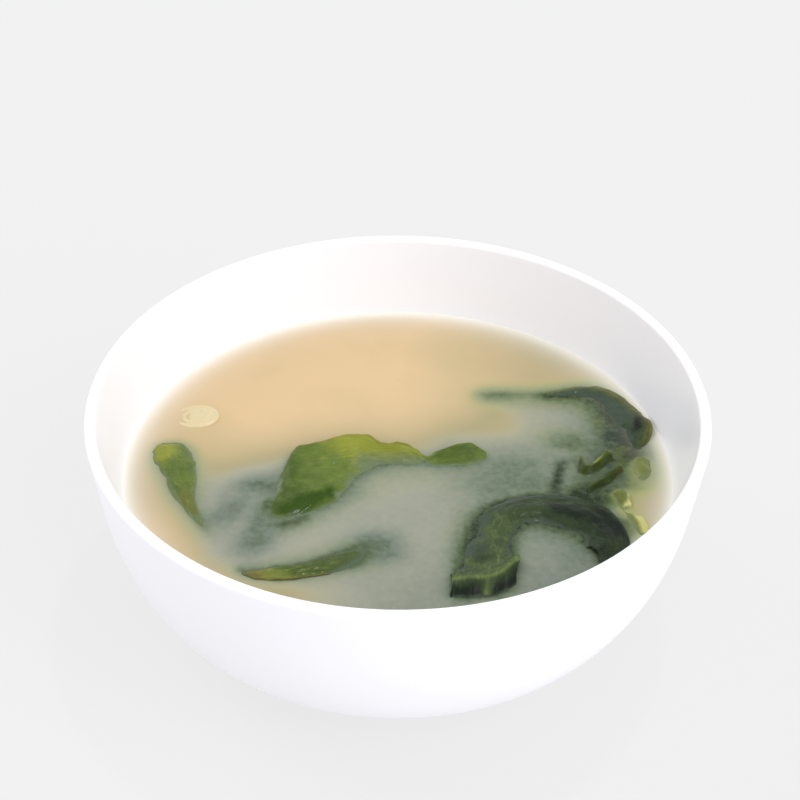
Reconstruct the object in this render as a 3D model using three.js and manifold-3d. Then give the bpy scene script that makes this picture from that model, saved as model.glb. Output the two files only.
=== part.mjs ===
// Miso soup in its bowl: a plain white bowl on a foot ring, filled with broth, with wakame leaves
// and a slice of spring onion afloat. Millimetres, +Z up. The origin is the centre of the foot
// ring's underside, and -Y is the front of the bowl.
import * as THREE from 'three';
import { mergeVertices } from 'three/addons/utils/BufferGeometryUtils.js';
import Module from 'manifold-3d';

const wasm = await Module();
wasm.setup();

// Bowl
const RIM_RADIUS = 75;
const BOWL_HEIGHT = 62;
const LIP_THICKNESS = 2.8;
const FOOT_RADIUS = 31;
const FOOT_RING_WIDTH = 4;
const FOOT_RECESS = 3.5;
const FLOOR_TOP = 9;
const AROUND = 64;

// Broth
const SOUP_BELOW_RIM = 21;
const SOUP_LEVEL = BOWL_HEIGHT - SOUP_BELOW_RIM;
const SOUP_RADIUS = 67.2;

// Leaves and slice
const LEAF_THICKNESS = 1.2;
const GAP = 0.3;
const LEAF_ROOM = 0.5;

const GLAZE = { color: 0xfafafb, roughness: 0.18, metalness: 0 };
const BROTH = { color: 0xcdbb92, roughness: 0.25, metalness: 0 };
const DARK_WAKAME = { color: 0x3f5230, roughness: 0.4, metalness: 0 };
const BRIGHT_WAKAME = { color: 0x93993a, roughness: 0.4, metalness: 0 };
const PALE_WAKAME = { color: 0x8a9668, roughness: 0.4, metalness: 0 };
const ONION = { color: 0xe6dcae, roughness: 0.45, metalness: 0 };

const dish = new THREE.Group();

function addPart(name, geometry, finish, height = 0) {
  const mesh = new THREE.Mesh(geometry, new THREE.MeshStandardMaterial(finish));
  mesh.name = name;
  mesh.position.z = height;
  dish.add(mesh);
}

// A profile of [radius, height] points turned about the Z axis.
function turned(points, segments) {
  const lathe = new THREE.LatheGeometry(points, segments);
  lathe.rotateX(Math.PI / 2);
  return lathe;
}

function toSolid(geometry) {
  const bare = geometry.clone();
  bare.deleteAttribute('normal');
  bare.deleteAttribute('uv');
  const merged = mergeVertices(bare, 1e-4);
  return new wasm.Manifold(new wasm.Mesh({
    numProp: 3,
    vertProperties: merged.attributes.position.array,
    triVerts: Uint32Array.from(merged.index.array),
  }));
}

function fromSolid(solid) {
  const mesh = solid.getMesh();
  const geometry = new THREE.BufferGeometry();
  geometry.setAttribute('position', new THREE.BufferAttribute(mesh.vertProperties, 3));
  geometry.setIndex(new THREE.BufferAttribute(mesh.triVerts, 1));
  return geometry;
}

// The hollow's wall from the broth line down to the flat of the floor, moved into the hollow by
// inset. The bowl and the broth share it.
function hollowCurve(inset) {
  return new THREE.CubicBezierCurve(
    new THREE.Vector2(SOUP_RADIUS - inset, SOUP_LEVEL),
    new THREE.Vector2(SOUP_RADIUS - 4 - inset, 24 + inset),
    new THREE.Vector2(52 - inset, FLOOR_TOP + inset),
    new THREE.Vector2(30 - inset, FLOOR_TOP + inset),
  );
}

// The bowl: thin at the rounded lip, thicker down the wall, with a round belly over a low foot.
function bowlGeometry() {
  const lipRadius = LIP_THICKNESS / 2;
  const lipCentre = RIM_RADIUS - lipRadius;
  const bellySteps = 12;
  const lipSteps = 6;
  const hollowSteps = 10;
  const foot = new THREE.Path();
  foot.moveTo(0, FOOT_RECESS);
  foot.lineTo(FOOT_RADIUS - FOOT_RING_WIDTH - 0.8, FOOT_RECESS);
  foot.lineTo(FOOT_RADIUS - FOOT_RING_WIDTH, 0);
  foot.lineTo(FOOT_RADIUS, 0);
  foot.lineTo(FOOT_RADIUS + 1, 4.4);
  const belly = new THREE.CubicBezierCurve(
    new THREE.Vector2(FOOT_RADIUS + 2, 4.8),
    new THREE.Vector2(58.5, 5.6),
    new THREE.Vector2(68.6, 23),
    new THREE.Vector2(72.3, 42),
  );
  const lip = new THREE.Path();
  lip.absarc(lipCentre, BOWL_HEIGHT - lipRadius, lipRadius, 0, Math.PI);
  return turned([
    ...foot.getPoints(),
    ...belly.getPoints(bellySteps),
    ...lip.getSpacedPoints(lipSteps),
    ...hollowCurve(0).getPoints(hollowSteps),
    new THREE.Vector2(0, FLOOR_TOP),
  ], AROUND);
}

// The broth before the leaves are cut out of it: it fills the hollow to the level line.
function brothGeometry() {
  const hollowSteps = 8;
  return turned([
    new THREE.Vector2(0, FLOOR_TOP + GAP),
    ...hollowCurve(GAP).getPoints(hollowSteps).reverse(),
    new THREE.Vector2(0, SOUP_LEVEL),
  ], AROUND);
}

// Wakame. A leaf is a thin sheet through rows of [x, y, height over the broth] places. Each row runs
// from the leaf's first end to its last, and the rows follow each other from one edge to the other.
// Most edges dip under the broth.
const smoothCurve = (places) => new THREE.CatmullRomCurve3(places, false, 'catmullrom', 0.5);

function leafSheet({ rows }) {
  const lengthways = rows.map((row) => smoothCurve(row.map((place) => new THREE.Vector3(...place))));
  return (u, v) => smoothCurve(lengthways.map((row) => row.getPoint(u))).getPoint(v);
}

// The leaf as a closed solid, grown all round by margin. Its upper and lower faces are split into
// the same triangles.
function leafGeometry(leaf, margin = 0) {
  const { along, across } = leaf;
  const sheet = leafSheet(leaf);
  const near = 1e-3;
  const half = LEAF_THICKNESS / 2 + margin;
  const upper = [];
  const lower = [];
  for (let i = 0; i <= along; i += 1) {
    for (let j = 0; j <= across; j += 1) {
      const u = THREE.MathUtils.clamp(i / along, near, 1 - near);
      const v = THREE.MathUtils.clamp(j / across, near, 1 - near);
      const lengthwise = sheet(u + near, v).sub(sheet(u - near, v)).normalize();
      const crosswise = sheet(u, v + near).sub(sheet(u, v - near)).normalize();
      const normal = crosswise.clone().cross(lengthwise).normalize();
      const pastEnd = normal.clone().cross(crosswise);
      const pastEdge = lengthwise.clone().cross(normal);
      const point = sheet(i / along, j / across);
      if (i === 0) point.addScaledVector(pastEnd, -margin);
      if (i === along) point.addScaledVector(pastEnd, margin);
      if (j === 0) point.addScaledVector(pastEdge, -margin);
      if (j === across) point.addScaledVector(pastEdge, margin);
      upper.push(point.clone().addScaledVector(normal, half));
      lower.push(point.clone().addScaledVector(normal, -half));
    }
  }
  const row = across + 1;
  const lowerStart = upper.length;
  const index = [];
  const quad = (a, b, c, d) => index.push(a, b, c, a, c, d);
  for (let i = 0; i < along; i += 1) {
    for (let j = 0; j < across; j += 1) {
      const corner = i * row + j;
      quad(corner, corner + 1, corner + row + 1, corner + row);
      const under = corner + lowerStart;
      index.push(under, under + row + 1, under + 1, under, under + row, under + row + 1);
    }
    const backSide = i * row;
    const frontSide = backSide + across;
    quad(backSide, backSide + row, backSide + row + lowerStart, backSide + lowerStart);
    quad(frontSide, frontSide + lowerStart, frontSide + row + lowerStart, frontSide + row);
  }
  for (let j = 0; j < across; j += 1) {
    const last = along * row + j;
    quad(j, j + lowerStart, j + 1 + lowerStart, j + 1);
    quad(last, last + 1, last + 1 + lowerStart, last + lowerStart);
  }
  const geometry = new THREE.BufferGeometry().setFromPoints([...upper, ...lower]);
  geometry.setIndex(index);
  return geometry;
}

const leaves = {
  // A small curl by the left wall, bright at its tip and tapering to a tail at the front.
  wakame_left: {
    finish: BRIGHT_WAKAME,
    along: 14,
    across: 4,
    rows: [
      [
        [-58.4, 9.6, -0.4], [-53.8, 8.8, 0], [-50.2, 3, -0.5], [-48.8, -5, -0.8], [-48.6, -13, -0.9],
        [-45.8, -19.8, -0.9], [-43.6, -25.8, -1.7],
      ],
      [
        [-60, 7.8, 0.2], [-56.6, 5.4, 1.4], [-53.9, -0.2, 1.3], [-52.2, -7, 1.1], [-50.4, -13.4, 0.8],
        [-47.3, -20.3, 0], [-44.6, -26.3, -1.4],
      ],
      [
        [-61.2, 5.8, -0.4], [-60, 1.6, -0.3], [-57.6, -3.6, -0.8], [-55.6, -9.2, -0.7],
        [-52.4, -15, -0.5], [-48.8, -21, -0.7], [-45.6, -26.8, -1.7],
      ],
    ],
  },
  // The large leaf across the middle. Its frilly back edge stands out of the broth, and the sheet
  // slopes forwards and under.
  wakame_middle: {
    finish: BRIGHT_WAKAME,
    along: 26,
    across: 7,
    rows: [
      [
        [-27, 1.8, 0.7], [-25, 5.4, 2.4], [-19.5, 6, 3.2], [-13, 7.6, 4.8], [-8, 7.4, 4.9],
        [-3.4, 5.8, 3.7], [1, 5.9, 3.6], [4.8, 5.2, 2.1], [7, 4.4, 0.2], [11.4, 5.4, 2],
        [17.4, 6.4, 3.1], [21.6, 6.4, 0.6],
      ],
      [
        [-28.6, -4, -0.3], [-25.6, -2.4, 0.9], [-20, -0.8, 1.2], [-14.6, 1, 1.2], [-9.4, 2.6, 1],
        [-4.4, 3.2, 0.8], [0, 3.4, 0.6], [4, 3, 0.2], [7, 2.6, -0.5], [11.4, 3.2, 0.9], [17, 3.6, 1],
        [22.4, 3.4, -1.4],
      ],
      [
        [-31, -15, -0.6], [-27, -13.4, 0.6], [-20.6, -11, 1.1], [-14.4, -7.6, 0.2], [-9.2, -4.6, -1],
        [-4.4, -2.4, -2], [-0.2, -1.6, -2.3], [4, -1.4, -2.3], [7.4, -1.4, -2.1], [11.8, -1.2, -1.8],
        [17.4, -0.6, -1.8], [23, -0.4, -2.6],
      ],
      [
        [-33.4, -27, -1.9], [-28.4, -27, -1.9], [-18.8, -20.4, -2.2], [-11.2, -15, -2.6],
        [-6.4, -11.6, -3], [-2.6, -9.6, -3.6], [1, -8.8, -3.8], [5, -8.2, -4], [8.4, -7.8, -3.8],
        [12.6, -7.2, -3.6], [18, -6, -3.6], [24, -5, -4],
      ],
    ],
  },
  // A strip at the front left: its front edge lies on the broth, the rest slopes under it.
  wakame_front_left: {
    finish: BRIGHT_WAKAME,
    along: 14,
    across: 4,
    rows: [
      [
        [-38, -36.1, -1.4], [-33, -36.2, -1.4], [-28, -34.4, -1.6], [-22, -33.4, -1.6],
        [-16, -29.8, -1.6], [-9.6, -26, -1.8], [-2.6, -23, -2.6],
      ],
      [
        [-38.5, -37.3, -1.1], [-33, -38.5, 0.2], [-28, -37.9, 0.6], [-22, -36.8, 0.8],
        [-15, -34.2, 0.6], [-9, -31.4, 0], [-1.6, -28.6, -1.7],
      ],
      [
        [-38.8, -38.5, -1.3], [-33.6, -40.3, -0.1], [-28, -41.2, 0.1], [-21.5, -40.1, 0.1],
        [-14, -38.4, -0.6], [-7, -37, -1.6], [0.4, -36, -2.8],
      ],
    ],
  },
  // The long leaf along the back right wall: a thin edge that shows on the broth, widening to a
  // corner that rests against the wall.
  wakame_back_right: {
    finish: DARK_WAKAME,
    along: 24,
    across: 6,
    rows: [
      [
        [19, 32.6, -2.6], [25.5, 33, -1.8], [33, 33.2, -2.1], [39.8, 33, -1], [46, 34.6, -0.6],
        [51.2, 34.8, -0.5], [56.2, 32.4, -0.4], [60, 27.4, -0.3], [62.2, 22.6, 0.1], [64.3, 17.4, 1.1],
        [63.6, 12.8, 0.3], [61.4, 8.4, -0.9],
      ],
      [
        [19.5, 30.6, -2.2], [25, 30.8, -0.9], [33, 30.7, -1.6], [39, 30.8, -0.3], [45, 32.3, 0.3],
        [50, 32.4, 0.4], [54.2, 30.2, 0.4], [57.9, 25.9, 0.35], [60.6, 21.7, 0.7], [62.2, 17.2, 1.5],
        [61.8, 12.6, 0.7], [60, 8, -0.6],
      ],
      [
        [20, 28.8, -2.8], [26, 28.8, -2.1], [33, 28.8, -2.5], [38.4, 28.4, -1.6], [44.2, 29.2, -1.2],
        [49, 28.6, -0.9], [52, 26, -0.6], [54.4, 22.2, -0.5], [56, 18.2, -0.5], [57, 14.6, -0.6],
        [57.2, 11.4, -0.7], [56.4, 8, -0.9],
      ],
      [
        [20.4, 26.6, -4], [26, 26.6, -3.5], [33, 26.6, -3.8], [38, 26, -3], [42.4, 26, -2.4],
        [45.4, 24.4, -2], [47.4, 21.6, -1.9], [48.8, 18.2, -1.7], [49.8, 15, -1.6], [50.4, 12.4, -1.6],
        [50.6, 10.4, -1.6], [50.6, 8.6, -1.8],
      ],
    ],
  },
  // Two crinkles that break the surface between the long leaf and the arch.
  wakame_curl_back: {
    finish: DARK_WAKAME,
    along: 8,
    across: 3,
    rows: [
      [
        [45.4, 4.2, 1.3], [46.4, 1, 1.3], [48, 0.8, 1.5], [50, 2.6, 1.9], [51.6, 4.9, 2.1],
        [53, 5.1, 1.5],
      ],
      [
        [44.8, 1, 0.3], [46.2, -0.6, 0.4], [48.2, 0, 0.4], [50.4, 1.8, 0.4], [52, 3.8, 0.4],
        [53.4, 4.4, 0.2],
      ],
      [
        [44.4, -2.8, -1.2], [46.4, -2.8, -1], [48.8, -1.4, -1], [50.9, 0.6, -1], [52.6, 2.6, -1],
        [54, 3.6, -1.2],
      ],
    ],
  },
  wakame_curl_front: {
    finish: DARK_WAKAME,
    along: 8,
    across: 3,
    rows: [
      [
        [46.4, -8, 0.9], [47.8, -6.6, 1.4], [49.6, -5.1, 1.6], [51.8, -3, 1.5], [54, -0.4, 1.3],
        [55, 0.8, 0.8],
      ],
      [
        [46.4, -8.9, 0.3], [48.1, -7.6, 0.4], [50, -5.9, 0.4], [52.2, -3.8, 0.4], [54.4, -1.2, 0.3],
        [55.4, 0, 0.1],
      ],
      [
        [46.4, -9.7, -0.4], [48.4, -8.7, -0.6], [50.4, -6.8, -0.7], [52.6, -4.6, -0.8],
        [54.7, -2.1, -0.8], [55.7, -0.9, -0.8],
      ],
    ],
  },
  // The arch at the front right. It starts in a curled end that stands up at the front, runs back,
  // turns over a pool of open broth and comes forward again along the wall.
  wakame_arch: {
    finish: DARK_WAKAME,
    along: 36,
    across: 5,
    rows: [
      [
        [11.6, -49.4, -2.6], [12.6, -42.2, 1.9], [12.6, -37.6, -0.8], [12.4, -31.4, -1.7],
        [12.8, -25, -1.9], [15, -17, -2], [21.4, -9.6, -2], [31, -6.6, -2], [40.4, -6.6, -2.2],
        [48.2, -10.8, -2.2], [52.6, -16.2, -1.6], [55, -24.2, -1.5], [56, -31, -1.8],
      ],
      [
        [16.6, -48.8, -2.6], [17.4, -42.4, 2.4], [17.6, -37.4, 0.4], [17.6, -31, -0.2],
        [18.4, -24.6, -0.3], [20.6, -18, -0.3], [25.2, -13.4, -0.3], [32.2, -11.2, -0.2],
        [40.2, -11, -0.1], [47.4, -13.8, 0.3], [51.4, -18.2, 0.55], [53.8, -25.2, 0.5],
        [54.4, -32, -0.8],
      ],
      [
        [22, -48, -2.6], [23, -41.4, 2.7], [23.4, -36.4, 0.9], [24, -30.8, 0.4], [24.8, -24.8, 0.4],
        [26.4, -20.4, 0.5], [29.2, -17, 0.6], [34, -16, 0.8], [40.4, -17.4, 0.8], [45.4, -20, 0.7],
        [48, -23.4, 0.7], [50.2, -28.2, 0.6], [51.2, -34.4, -0.8],
      ],
      [
        [27, -46, -2.6], [28.2, -35.6, 2.3], [28.2, -32.4, 0], [29.6, -29, -1.7], [30.4, -25.8, -2],
        [32, -24, -2], [33.8, -24, -2], [36.6, -25, -1.8], [40, -27, -1.6], [43, -28.4, -1],
        [45.4, -29.4, 0.3], [46.8, -31.8, 0.6], [48, -36.6, -1.4],
      ],
    ],
  },
  // Thin pale leaf against the right wall, and the yellowish scrap in front of it.
  wakame_pale: {
    finish: PALE_WAKAME,
    along: 4,
    across: 5,
    rows: [
      [[57.8, 6.6, -2], [60.2, 7, -1.4], [62.8, 6.6, -2]],
      [[57.2, 3.2, -1.2], [60.4, 3.6, 0.4], [64, 3.4, -1.2]],
      [[57.2, -1.6, -1.2], [60.2, -1.4, 0.3], [63.6, -1.8, -1.2]],
      [[58, -6.8, -2], [60, -7.2, -1.6], [62, -7, -2]],
    ],
  },
  wakame_yellow: {
    finish: PALE_WAKAME,
    along: 9,
    across: 3,
    rows: [
      [
        [52, -8.6, -0.6], [52.8, -11.8, -0.4], [54.4, -15.2, -0.3], [55.8, -19.6, -0.3],
        [57.4, -24.4, -0.6],
      ],
      [[53.8, -8.2, 0.7], [54.4, -11.8, 0.9], [55.5, -15.2, -0.5], [57, -19.2, 0.7], [58.6, -23.6, 0]],
      [[56, -8.8, 0], [56.4, -12.6, 0.3], [56.6, -15.8, -0.7], [59, -18.8, 0.3], [60.4, -23, -0.6]],
    ],
  },
};

// A slice across a spring onion: an outer and an inner layer round a core, afloat and a little
// tilted.
const SLICE_CENTRE = new THREE.Vector3(-51.4, 20.6, 0);
const SLICE_RADII = new THREE.Vector2(6, 4.8);
const SLICE_THICKNESS = 2;
const SLICE_GROOVE = 0.6;
const SLICE_SEGMENTS = 24;

function placeSlice(geometry, margin) {
  geometry.scale(SLICE_RADII.x + margin, SLICE_RADII.y + margin, 1);
  geometry.rotateY(THREE.MathUtils.degToRad(-4));
  geometry.translate(...SLICE_CENTRE);
  return geometry;
}

function sliceGeometry() {
  const top = 0.4;
  const bottom = top - SLICE_THICKNESS;
  const groove = top - SLICE_GROOVE;
  const profile = [
    [0, bottom], [0.94, bottom], [1, bottom + 0.4], [1, top - 0.3], [0.94, top], [0.76, top],
    [0.68, groove], [0.6, top], [0.46, top], [0.38, groove], [0.3, top - 0.1], [0, top],
  ];
  return placeSlice(turned(profile.map((p) => new THREE.Vector2(...p)), SLICE_SEGMENTS), 0);
}

function sliceRoom() {
  const top = 3;
  const bottom = 0.4 - SLICE_THICKNESS - GAP;
  const profile = [[0, bottom], [1, bottom], [1, top], [0, top]];
  return placeSlice(turned(profile.map((p) => new THREE.Vector2(...p)), SLICE_SEGMENTS), GAP);
}

// The broth is cut round each leaf and the slice, and loose scraps above them are dropped.
function soupGeometry() {
  const room = [...Object.values(leaves).map((leaf) => leafGeometry(leaf, LEAF_ROOM)), sliceRoom()];
  const cutters = room.map((geometry) => toSolid(geometry).translate([0, 0, SOUP_LEVEL]));
  const cut = toSolid(brothGeometry()).subtract(wasm.Manifold.union(cutters));
  const bodies = cut.decompose().sort((a, b) => b.volume() - a.volume());
  return fromSolid(bodies[0]);
}

addPart('bowl', bowlGeometry(), GLAZE);
addPart('soup', soupGeometry(), BROTH);
for (const [name, leaf] of Object.entries(leaves)) {
  addPart(name, leafGeometry(leaf), leaf.finish, SOUP_LEVEL);
}
addPart('onion_slice', sliceGeometry(), ONION, SOUP_LEVEL);

export default dish;
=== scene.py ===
import math

import bmesh
import bpy
import numpy as np
from mathutils import Matrix, Vector, noise
from mathutils.bvhtree import BVHTree
from mathutils.geometry import interpolate_bezier


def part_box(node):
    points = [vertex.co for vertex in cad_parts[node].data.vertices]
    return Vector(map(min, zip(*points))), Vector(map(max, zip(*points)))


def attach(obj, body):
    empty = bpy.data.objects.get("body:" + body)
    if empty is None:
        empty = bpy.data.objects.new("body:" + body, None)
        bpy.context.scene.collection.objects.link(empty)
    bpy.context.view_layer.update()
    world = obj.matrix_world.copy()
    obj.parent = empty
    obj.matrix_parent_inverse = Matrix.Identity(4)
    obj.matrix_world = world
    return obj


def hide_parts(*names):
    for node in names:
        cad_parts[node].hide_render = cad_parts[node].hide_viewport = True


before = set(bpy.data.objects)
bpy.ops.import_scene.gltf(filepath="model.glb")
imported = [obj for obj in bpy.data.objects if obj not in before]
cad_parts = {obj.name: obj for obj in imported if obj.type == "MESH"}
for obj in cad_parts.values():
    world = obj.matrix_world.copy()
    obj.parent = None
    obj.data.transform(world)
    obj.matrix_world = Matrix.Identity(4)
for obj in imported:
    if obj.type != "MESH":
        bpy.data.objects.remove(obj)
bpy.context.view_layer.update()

# ---------------------------------------------------------------------------------------------
# Camera: at the eyes of a person seated at the table, looking down into the bowl from the front.
# It aims at the middle of the rim.
RIM_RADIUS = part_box("bowl")[1].x
BOWL_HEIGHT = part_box("bowl")[1].z
CAMERA_ELEVATION = math.radians(37.1)
CAMERA_DISTANCE = 6.41 * RIM_RADIUS
CAMERA_ROLL = math.radians(0.42)
FOCAL_LENGTH_MM = 90
SENSOR_WIDTH_MM = 36
FRAME_SHIFT = (0.0025, 0.0014)
SEEN_FROM, SEEN_TO = 0.01, 20

camera_data = bpy.data.cameras.new("camera")
camera_data.sensor_width = SENSOR_WIDTH_MM
camera_data.lens = FOCAL_LENGTH_MM
camera_data.shift_x, camera_data.shift_y = FRAME_SHIFT
camera_data.clip_start = SEEN_FROM
camera_data.clip_end = SEEN_TO
camera = bpy.data.objects.new("camera", camera_data)
bpy.context.scene.collection.objects.link(camera)
bpy.context.scene.camera = camera
towards_camera = Vector((0, -math.cos(CAMERA_ELEVATION), math.sin(CAMERA_ELEVATION)))
rim_centre = Vector((0, 0, BOWL_HEIGHT))
camera.matrix_world = (
    Matrix.Translation(rim_centre + towards_camera * CAMERA_DISTANCE)
    @ Matrix.Rotation(math.radians(90) - CAMERA_ELEVATION, 4, "X")
    @ Matrix.Rotation(CAMERA_ROLL, 4, "Z")
)


# ---------------------------------------------------------------------------------------------
# Floor and light: a plain pale studio floor under a bright sky. One large soft lamp stands at the
# right in front, weaker ones stand at the left behind and low down at the right, and a small one
# hangs overhead for wet glints.
def srgb(red, green, blue):
    """A colour given in 0 to 255 screen values, as linear RGBA."""
    def linear(value):
        share = value / 255
        return share / 12.92 if share <= 0.04045 else ((share + 0.055) / 1.055) ** 2.4
    return (linear(red), linear(green), linear(blue), 1)


def new_material(name):
    """A material, its node tree and its Principled shader."""
    material = bpy.data.materials.new(name)
    material.use_nodes = True
    tree = material.node_tree
    return material, tree, tree.nodes["Principled BSDF"]


def plug(tree, socket, value):
    """Links the socket to the value where that is a node's output, and sets it otherwise."""
    if isinstance(value, bpy.types.NodeSocket):
        tree.links.new(value, socket)
    else:
        socket.default_value = value


def feed(tree, made, **inputs):
    """Gives a node its inputs, by socket name with _ for a space."""
    for name, value in inputs.items():
        plug(tree, made.inputs[name.replace("_", " ")], value)


def node(tree, kind, settings=None, **inputs):
    """Adds a node with its settings and its inputs."""
    made = tree.nodes.new(kind)
    for name, value in (settings or {}).items():
        setattr(made, name, value)
    feed(tree, made, **inputs)
    return made


def mixed(tree, share, first, second, blend="MIX"):
    """A colour that goes from the first to the second as the share goes from 0 to 1."""
    settings = {"data_type": "RGBA", "blend_type": blend}
    return node(tree, "ShaderNodeMix", settings, Factor=share, A=first, B=second).outputs["Result"]


def mesh_object(name, bm):
    """Turns a finished bmesh into an object at the origin, smooth shaded."""
    mesh = bpy.data.meshes.new(name)
    bm.to_mesh(mesh)
    bm.free()
    mesh.shade_smooth()
    made = bpy.data.objects.new(name, mesh)
    bpy.context.scene.collection.objects.link(made)
    return made


FLOOR_SIZE = 4.0
FLOOR_COLOUR = srgb(120, 120, 120)
FLOOR_GLOW = 0.65
SKY_AT_HORIZON = (0.99, 0.985, 1.04, 1)
SKY_OVERHEAD = (0.89, 0.89, 0.885, 1)
SKY_STRENGTH = 0.94
LAMPS = (  # name, place, watts, width
    ("lamp_right", (1.7, -1.6, 1.9), 30, 2.2),
    ("lamp_left", (-1.5, 0.9, 1.5), 11, 1.4),
    ("lamp_low", (2.0, -1.2, 0.4), 8, 1.4),
    ("lamp_overhead", (0.3, 0.3, 1.9), 3, 0.1),
)

bm = bmesh.new()
bmesh.ops.create_grid(bm, x_segments=2, y_segments=2, size=FLOOR_SIZE / 2)
floor = mesh_object("floor", bm)
material, tree, shader = new_material("light_table")
feed(
    tree, shader, Base_Color=FLOOR_COLOUR, Roughness=0.9, Specular_IOR_Level=0.0,
    Emission_Color=(1, 1, 1, 1), Emission_Strength=FLOOR_GLOW,
)
floor.data.materials.append(material)

world = bpy.data.worlds.new("studio")
bpy.context.scene.world = world
world.use_nodes = True
tree = world.node_tree
towards = node(tree, "ShaderNodeTexCoord").outputs["Generated"]
height = node(tree, "ShaderNodeSeparateXYZ", Vector=towards).outputs["Z"]
sky = mixed(tree, height, SKY_AT_HORIZON, SKY_OVERHEAD)
feed(tree, tree.nodes["Background"], Color=sky, Strength=SKY_STRENGTH)
bpy.context.scene.view_settings.view_transform = "Standard"

for name, place, watts, width in LAMPS:
    lamp = bpy.data.lights.new(name, "AREA")
    lamp.energy = watts
    lamp.size = width
    soft_box = bpy.data.objects.new(name, lamp)
    bpy.context.scene.collection.objects.link(soft_box)
    soft_box.location = place
    soft_box.rotation_euler = (rim_centre - Vector(place)).to_track_quat("-Z", "Y").to_euler()


# ---------------------------------------------------------------------------------------------
# Bowl: white glazed porcelain, thrown round. One profile runs from the middle of the underside
# over the foot ring, up the belly, round the lip and down inside to the middle of the floor.
MM = 0.001
LIP_THICKNESS = 2.8 * MM
LIP_STEPS = 14
FOOT_RADIUS = 31 * MM
FOOT_RING_WIDTH = 4 * MM
FOOT_RECESS = 3.5 * MM
FOOT_HEIGHT = 4.4 * MM
FOOT_SLOPE_INSIDE = 0.8 * MM
FOOT_SLOPE_OUTSIDE = 1 * MM
FOOT_CORNERS = (1, 2, 3, 4)
FOOT_ROUNDING = 0.5 * MM
BELLY_START = (FOOT_RADIUS + 2 * MM, 4.8 * MM)
BELLY_LOWER_PULL = (58.5 * MM, 5.6 * MM)
BELLY_UPPER_PULL = (68.6 * MM, 23 * MM)
BELLY_END = (72.3 * MM, 42 * MM)
BELLY_STEPS = 40
SOUP_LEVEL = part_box("soup")[1].z
SOUP_RADIUS = 67.2 * MM
FLOOR_TOP = 9 * MM
HOLLOW_WALL_PULL = (SOUP_RADIUS - 4 * MM, 24 * MM)
HOLLOW_FLOOR_PULL = (52 * MM, FLOOR_TOP)
HOLLOW_END = (30 * MM, FLOOR_TOP)
HOLLOW_STEPS = 34
BOWL_SEGMENTS = 256
MERGE_DISTANCE = 1e-6
CORNER_SEGMENTS = 4
GLAZE_WARM, GLAZE_COOL = srgb(249, 249, 254), srgb(251, 251, 255)
BARE_CLAY = srgb(226, 222, 214)
BARE_BELOW, GLAZED_ABOVE = 0.3 * MM, 0.6 * MM
GLAZE_ROUGHNESS, CLAY_ROUGHNESS = 0.28, 0.75


def flat(radius, height):
    """A point of a profile, which stands in the plane of X and Z."""
    return Vector((radius, 0, height))


def hollow_curve(steps):
    """The inside wall from the broth line down to the flat of the floor."""
    return interpolate_bezier(
        flat(SOUP_RADIUS, SOUP_LEVEL), flat(*HOLLOW_WALL_PULL), flat(*HOLLOW_FLOOR_PULL),
        flat(*HOLLOW_END), steps,
    )


def profile_of(points):
    """An open line through the points, as a bmesh."""
    profile = bmesh.new()
    verts = [profile.verts.new(point) for point in points]
    for first, second in zip(verts, verts[1:]):
        profile.edges.new((first, second))
    profile.verts.ensure_lookup_table()
    return profile


def turn(profile, segments):
    """Spins an open profile that starts and ends on the Z axis into a closed round body."""
    bmesh.ops.spin(
        profile, geom=profile.verts[:] + profile.edges[:], cent=(0, 0, 0), axis=(0, 0, 1),
        angle=math.tau, steps=segments, use_merge=True,
    )
    bmesh.ops.remove_doubles(profile, verts=profile.verts, dist=MERGE_DISTANCE)
    bmesh.ops.recalc_face_normals(profile, faces=profile.faces)
    return profile


def mottle(tree, place, scale, detail, **more):
    """A soft random pattern from 0 to 1, finer as the scale grows."""
    made = node(tree, "ShaderNodeTexNoise", Vector=place, Scale=scale, Detail=detail, **more)
    return made.outputs["Fac"]


def ranged(tree, value, low, high, to_low=0.0, to_high=1.0, smooth=False):
    """The value carried from one range into another, and held at its ends."""
    return node(
        tree, "ShaderNodeMapRange", {"interpolation_type": "SMOOTHSTEP" if smooth else "LINEAR"},
        Value=value, From_Min=low, From_Max=high, To_Min=to_low, To_Max=to_high,
    ).outputs["Result"]


def bumped(tree, height, strength, depth):
    """The surface's normal under a relief of that depth."""
    made = node(tree, "ShaderNodeBump", Height=height, Strength=strength, Distance=depth)
    return made.outputs["Normal"]


lip_radius = LIP_THICKNESS / 2
lip_centre = flat(RIM_RADIUS - lip_radius, BOWL_HEIGHT - lip_radius)
lip_angles = [math.pi * i / LIP_STEPS for i in range(LIP_STEPS + 1)]
lip = [lip_centre + flat(math.cos(angle), math.sin(angle)) * lip_radius for angle in lip_angles]
belly = interpolate_bezier(
    flat(*BELLY_START), flat(*BELLY_LOWER_PULL), flat(*BELLY_UPPER_PULL), flat(*BELLY_END),
    BELLY_STEPS,
)
foot = [
    flat(0, FOOT_RECESS), flat(FOOT_RADIUS - FOOT_RING_WIDTH - FOOT_SLOPE_INSIDE, FOOT_RECESS),
    flat(FOOT_RADIUS - FOOT_RING_WIDTH, 0), flat(FOOT_RADIUS, 0),
    flat(FOOT_RADIUS + FOOT_SLOPE_OUTSIDE, FOOT_HEIGHT),
]
bm = profile_of([*foot, *belly, *lip, *hollow_curve(HOLLOW_STEPS), flat(0, FLOOR_TOP)])
bmesh.ops.bevel(
    bm, geom=[bm.verts[i] for i in FOOT_CORNERS], offset=FOOT_ROUNDING, affect="VERTICES",
    segments=CORNER_SEGMENTS, profile=0.5, material=-1,
)
bowl = mesh_object("bowl_porcelain", turn(bm, BOWL_SEGMENTS))

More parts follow.
